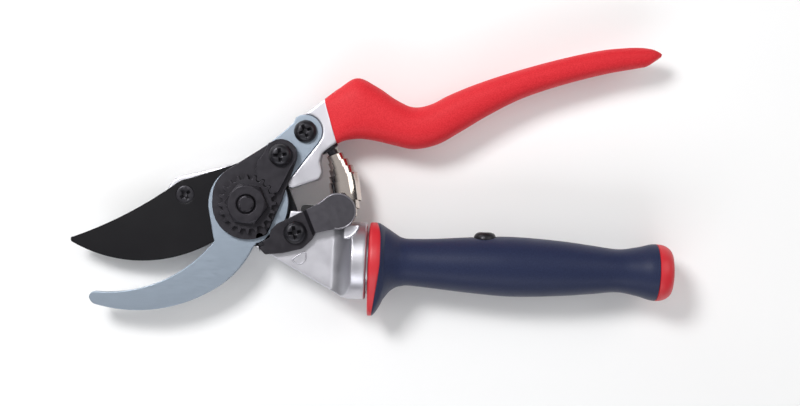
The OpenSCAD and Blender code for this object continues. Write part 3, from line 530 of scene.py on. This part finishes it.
def round_ring(x, radius, points=96):
    return [(x, grip_y + radius * math.cos(2 * math.pi * k / points),
             grip_z + radius * math.sin(2 * math.pi * k / points)) for k in range(points)]


guard_profile = [(0, 1.3), (0.02, 0.8), (0.07, 0.35), (0.16, 0.08), (0.3, 0), (0.7, 0), (0.94, 0.03),
                 (1, 0.2), (1, 3)]
core_rings = [guard_ring(depth, inset) for depth, inset in guard_profile]
core_rings += [round_ring(46.7, 6.6), round_ring(cap_seam, 6.6)]

red_nylon, tree, shader = new_finish("moulded_red_nylon", "#C92630", Roughness=0.42)
place = add_node(tree, "TexCoord", {}, {})
spark = add_node(tree, "TexNoise", {"Scale": 2400, "Detail": 2}, {"Vector": place.outputs["Object"]})
flow = add_node(tree, "TexNoise", {"Scale": 90, "Detail": 2}, {"Vector": place.outputs["Object"]})
tone = add_node(tree, "ValToRGB", {}, {"Fac": flow.outputs[0]})
tone.color_ramp.elements[0].position, tone.color_ramp.elements[0].color = 0.3, linear("#C2202B")
tone.color_ramp.elements[1].position, tone.color_ramp.elements[1].color = 0.7, linear("#CF2A35")
bump = add_node(tree, "Bump", {"Strength": 0.15, "Distance": 0.00004}, {"Height": spark.outputs[0]})
tree.links.new(tone.outputs[0], shader.inputs["Base Color"])
tree.links.new(bump.outputs[0], shader.inputs["Normal"])

guard = loft("grip_core_and_guard", core_rings)
guard.data.materials.append(red_nylon)
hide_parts("grip_core")
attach(guard, "grip_body")

boss = loft("grip_screw_boss", [
    [(screw_x + r * math.cos(2 * math.pi * k / 48), grip_y + y, grip_z + r * math.sin(2 * math.pi * k / 48))
     for k in range(48)] for y, r in ((6.2, 4.0), (8.55, 4.0), (8.7, 3.85))])
boss.data.materials.append(red_nylon)
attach(boss, "grip_body")


# ---------- Turning grip: navy sleeve ----------
# Soft thermoplastic moulded over the core: it flares into the guard, narrows at the neck, swells in the
# palm and flares again to the end cap. The surface is satin, with a very fine eroded skin.

# Stations: X, radius to +Y, radius to -Y, radius to both sides, in mm.
sleeve_stations = [
    (48, 12.1, 13.1, 12), (50, 10.9, 10.5, 10.6), (52, 9.6, 8.95, 9.3),
    (54, 8.6, 8.3, 8.4), (57, 8.3, 8, 8.1), (66, 8.7, 8.7, 8.7), (78, 9.7, 9.7, 9.7),
    (92, 10.4, 10.4, 10.4), (108, 9.7, 9.6, 9.7), (120, 8.5, 8.4, 8.4), (129, 7.6, 7.4, 7.5),
    (135.8, 8.6, 8.4, 8.5), (139.8, 9.6, 9.5, 9.6), (142.1, 9.88, 9.88, 9.88),
]


def sleeve_ring(t, inset=0.0, points=96):
    x, top, low, side = [on_curve([s[i] for s in sleeve_stations], t) for i in range(4)]
    ring = []
    for k in range(points):
        a = 2 * math.pi * k / points
        reach = (top + low) / 2 - inset
        ring.append((x, grip_y + (top - low) / 2 + reach * math.cos(a),
                     grip_z + (side - inset) * math.sin(a)))
    return ring


def flare_ring(s):
    """The flare, from the guard's outline at the seam to the first station."""
    near, far, share = guard_ring(1, 0.02), sleeve_ring(0), s ** 1.5
    return [(n[0] + (f[0] - n[0]) * s, n[1] + (f[1] - n[1]) * share, n[2] + (f[2] - n[2]) * share)
            for n, f in zip(near, far)]


sleeve_rings = [guard_ring(1, 3), guard_ring(1.01, 0.25)] + [flare_ring(s / 10) for s in range(10)]
sleeve_rings += [sleeve_ring(t / 8) for t in range(8 * (len(sleeve_stations) - 1) + 1)]
sleeve_rings += [round_ring(142.32, 9.75), round_ring(cap_seam, 9.5)]

overmould, tree, shader = new_finish("soft_overmould", "#1F2440", Roughness=0.44)
shader.inputs["Specular IOR Level"].default_value = 0.2
shader.inputs["Sheen Weight"].default_value = 0.08
place = add_node(tree, "TexCoord", {}, {})
skin_grain = add_node(tree, "TexNoise", {"Scale": 2400, "Detail": 3},
                      {"Vector": place.outputs["Object"]})
handled = add_node(tree, "TexNoise", {"Scale": 45, "Detail": 3}, {"Vector": place.outputs["Object"]})
gloss = add_node(tree, "MapRange", {"From Min": 0.3, "From Max": 0.7, "To Min": 0.42, "To Max": 0.52},
                 {"Value": handled.outputs[0]})
tone = add_node(tree, "ValToRGB", {}, {"Fac": skin_grain.outputs[0]})
tone.color_ramp.elements[0].position, tone.color_ramp.elements[0].color = 0.3, linear("#1E2541")
tone.color_ramp.elements[1].position, tone.color_ramp.elements[1].color = 0.7, linear("#252D4B")
bump = add_node(tree, "Bump", {"Strength": 0.14, "Distance": 0.00004}, {"Height": skin_grain.outputs[0]})
tree.links.new(tone.outputs[0], shader.inputs["Base Color"])
tree.links.new(gloss.outputs[0], shader.inputs["Roughness"])
tree.links.new(bump.outputs[0], shader.inputs["Normal"])

sleeve = loft("navy_grip_sleeve", sleeve_rings)
bpy.ops.object.select_all(action="DESELECT")
bpy.ops.mesh.primitive_cylinder_add(vertices=64, radius=4.3 * MM, depth=12 * MM,
                                    location=(screw_x * MM, (grip_y + 6.5 + 6) * MM, grip_z * MM),
                                    rotation=(math.radians(90), 0, 0))
counterbore = bpy.context.object
bpy.context.view_layer.objects.active = sleeve
cut = sleeve.modifiers.new("counterbore", "BOOLEAN")
cut.object = counterbore
cut.solver = "EXACT"
bpy.ops.object.select_all(action="DESELECT")
sleeve.select_set(True)
bpy.ops.object.modifier_apply(modifier="counterbore")
bpy.data.objects.remove(counterbore)
sleeve.data.materials.clear()
sleeve.data.materials.append(overmould)
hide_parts("grip_sleeve")
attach(sleeve, "grip_body")


# ---------- Turning grip: red end cap ----------
# A moulded button pressed into the sleeve's end, crowned and round at its rim.

cap_rings = [round_ring(142.42, 9.5), round_ring(142.5, 9.75)]
cap_rings += [round_ring(142.6 + 5.2 * math.sin(math.radians(a)), 6.3 + 3.58 * math.cos(math.radians(a)))
              for a in range(0, 73, 6)]
cap_rings += [round_ring(147.8, 6.4), round_ring(147.95, 5), round_ring(148, 2.5)]
end_cap = loft("red_end_cap", cap_rings)
end_cap.data.materials.append(red_nylon)
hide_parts("grip_end_cap")
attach(end_cap, "grip_body")


# ---------- Thumb catch ----------
# A bent steel plate, oxidised black: a claw at the hub, an eye under the screw and a round pad whose
# edge is rolled over for the thumb.

catch_plate = plate_copy("thumb_catch", "thumb_catch_plate", 0.22, burnished,
                         "catch_body")

# The rolled rim follows the outline of the pad's top face, from the bend round to the bend.
# Radius of the rim, its depth in the plate, and its distance from the bend, in mm.
rim_r, rim_sink, bend_margin = 0.32, 0.1, 0.6
bend_turn = math.radians(24)
bend_way = Vector((math.cos(bend_turn), math.sin(bend_turn), 0))
pad_top = max((face for face in catch_plate.data.polygons if face.normal.z > 0.99),
              key=lambda face: face.center.z * 1000 + face.area)
outline = [catch_plate.data.vertices[i].co.copy() for i in pad_top.vertices]
past_bend = [co.dot(bend_way) for co in outline]
bend_line = min(past_bend) + bend_margin * MM
first = next(i for i in range(len(outline)) if past_bend[i - 1] <= bend_line < past_bend[i])
outline = [co for co in outline[first:] + outline[:first] if co.dot(bend_way) > bend_line]

# Painted light: the pad's top faces take a lighter copy of the plate's steel, as if lit more,
# and the rim a lighter steel still, a painted highlight along its edge.
pad_painted_light, tree, shader = new_finish("pad_steel_painted_light", "#4A484E", Metallic=0.6, Roughness=0.34)
rim_painted_highlight, rim_highlight_tree, rim_highlight_shader = new_finish("rim_steel_painted_highlight", "#7C7A80", Metallic=0.8, Roughness=0.3)
for finish_tree, finish_shader in ((tree, shader), (rim_highlight_tree, rim_highlight_shader)):
    place = add_node(finish_tree, "TexCoord", {}, {})
    rub = add_node(finish_tree, "TexNoise", {"Scale": 500, "Detail": 4},
                   {"Vector": place.outputs["Object"]})
    gloss = add_node(finish_tree, "MapRange",
                     {"From Min": 0.3, "From Max": 0.7, "To Min": 0.28, "To Max": 0.44},
                     {"Value": rub.outputs[0]})
    finish_tree.links.new(gloss.outputs[0], finish_shader.inputs["Roughness"])
# Painted light: the pad's top faces get the lighter steel, the rest of the plate keeps the burnished one.
catch_plate.data.materials.append(pad_painted_light)
for face in catch_plate.data.polygons:
    if face.center.z > pad_top.center.z - 0.4 * MM:
        face.material_index = 1

# Painted highlight: the rim bead is a light grey steel, so that it reads as a bright line round the pad.
rim_points = [(co.x / MM, co.y / MM, co.z / MM - rim_sink) for co in outline]
rim = bead("pad_rim", rim_points, rim_r, rim_painted_highlight)
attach(rim, "catch_body")


# ---------- Volute spring ----------
# Flat spring strip wound in two nested cones, widest in the middle, so that the turns telescope. It is
# bright nickel plated, and its turns follow an arc round the pivot.

path_r, spring_z = 34.2, 10.55
spring_low, spring_high = -12.5, 35.5
strip_t, strip_w = 0.42, 6.4
turns = 9
# The strip's section, from its outer face to its inner face and from edge to edge.
strip_section = ((0, -0.96), (0.04, -1), (0.96, -1), (1, -0.96), (1, 0.96), (0.96, 1), (0.04, 1), (0, 0.96))


def strip_ring(t):
    a = 2 * math.pi * turns * t
    fold = 1 - abs(2 * t - 1)
    radius = 2.3 + (5.6 - 2.3) * fold
    arc = math.pi * path_r / 180
    w = strip_w / 2
    middle = w + ((spring_high - spring_low) * arc - 2 * w) * t
    ring = []
    for depth, side in strip_section:
        turn = math.radians(spring_low + (middle + side * w) / arc)
        r = radius - depth * strip_t
        path = path_r + r * math.cos(a)
        ring.append((path * math.cos(turn), path * math.sin(turn), spring_z + r * math.sin(a)))
    return ring


nickel, tree, shader = new_finish("bright_nickel_plate", "#D8CDC5", Metallic=1.0, Roughness=0.1)
place = add_node(tree, "TexCoord", {}, {})
rolled = add_node(tree, "TexNoise", {"Scale": 800, "Detail": 3}, {"Vector": place.outputs["Object"]})
gloss = add_node(tree, "MapRange", {"From Min": 0.3, "From Max": 0.7, "To Min": 0.06, "To Max": 0.16},
                 {"Value": rolled.outputs[0]})
bump = add_node(tree, "Bump", {"Strength": 0.08, "Distance": 0.00003}, {"Height": rolled.outputs[0]})
tree.links.new(gloss.outputs[0], shader.inputs["Roughness"])
tree.links.new(bump.outputs[0], shader.inputs["Normal"])

steps = turns * 36
spring = loft("volute_spring_strip", [strip_ring(i / steps) for i in range(steps + 1)])
spring.data.materials.append(nickel)
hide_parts("volute_spring")


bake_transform(spring)
